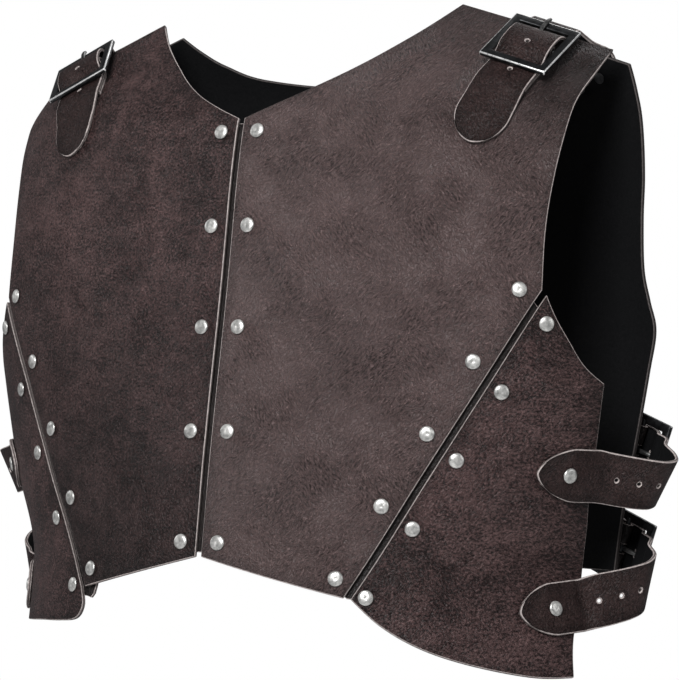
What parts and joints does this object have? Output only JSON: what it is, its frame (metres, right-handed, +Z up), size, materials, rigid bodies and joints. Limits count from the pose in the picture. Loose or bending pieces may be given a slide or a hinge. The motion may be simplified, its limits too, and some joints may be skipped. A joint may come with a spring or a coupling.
{
  "type": "leather chest armour",
  "caption": "Sleeveless leather chest armour: split chest, slanted side panels and a back, riveted over backing strips and closed by buckled straps at the shoulders and sides.",
  "frame": {"origin": "midway between the two shoulder straps at the height of their undersides where they cross the shoulders, which is where the wearer's shoulders hold the armour up", "axes": "+X towards the wearer's left, -Y out of the chest, +Z up"},
  "size_m": [0.4956, 0.216, 0.4087],
  "materials": {
    "panel_leather": "dark brown waxed leather, mottled and finely creased, satin",
    "strap_leather": "dark brown strap leather with pale worn edges, satin",
    "strip_leather": "near black backing leather, dull",
    "buckle_metal": "dark gunmetal with bright worn edges",
    "rivet_metal": "satin nickel"
  },
  "bodies": {
    "root": {"back": "panel_leather", "chest_left": "panel_leather", "side_left": "panel_leather", "chest_right": "panel_leather", "side_right": "panel_leather", "seam_strip_centre": "strip_leather", "seam_strip_left": "strip_leather", "seam_strip_right": "strip_leather", "shoulder_strap_left": "strap_leather", "shoulder_chape_left": "strip_leather", "shoulder_buckle_left": "buckle_metal", "side_strap_left_upper": "strap_leather", "side_chape_left_upper": "strip_leather", "side_buckle_left_upper": "buckle_metal", "side_strap_left_lower": "strap_leather", "side_chape_left_lower": "strip_leather", "side_buckle_left_lower": "buckle_metal", "shoulder_strap_right": "strap_leather", "shoulder_chape_right": "strip_leather", "shoulder_buckle_right": "buckle_metal", "side_strap_right_upper": "strap_leather", "side_chape_right_upper": "strip_leather", "side_buckle_right_upper": "buckle_metal", "side_strap_right_lower": "strap_leather", "side_chape_right_lower": "strip_leather", "side_buckle_right_lower": "buckle_metal", "rivet_centre_left_1": "rivet_metal", "rivet_centre_left_2": "rivet_metal", "rivet_centre_left_3": "rivet_metal", "rivet_centre_left_4": "rivet_metal", "rivet_centre_left_5": "rivet_metal", "rivet_seam_chest_left_1": "rivet_metal", "rivet_seam_chest_left_2": "rivet_metal", "rivet_seam_chest_left_3": "rivet_metal", "rivet_seam_chest_left_4": "rivet_metal", "rivet_seam_chest_left_5": "rivet_metal", "rivet_seam_side_left_1": "rivet_metal", "rivet_seam_side_left_2": "rivet_metal", "rivet_seam_side_left_3": "rivet_metal", "rivet_seam_side_left_4": "rivet_metal", "rivet_seam_side_left_5": "rivet_metal", "rivet_side_strap_left_upper": "rivet_metal", "rivet_side_strap_left_lower": "rivet_metal", "rivet_centre_right_1": "rivet_metal", "rivet_centre_right_2": "rivet_metal", "rivet_centre_right_3": "rivet_metal", "rivet_centre_right_4": "rivet_metal", "rivet_centre_right_5": "rivet_metal", "rivet_seam_chest_right_1": "rivet_metal", "rivet_seam_chest_right_2": "rivet_metal", "rivet_seam_chest_right_3": "rivet_metal", "rivet_seam_chest_right_4": "rivet_metal", "rivet_seam_chest_right_5": "rivet_metal", "rivet_seam_side_right_1": "rivet_metal", "rivet_seam_side_right_2": "rivet_metal", "rivet_seam_side_right_3": "rivet_metal", "rivet_seam_side_right_4": "rivet_metal", "rivet_seam_side_right_5": "rivet_metal", "rivet_side_strap_right_upper": "rivet_metal", "rivet_side_strap_right_lower": "rivet_metal"}
  },
  "joints": []
}
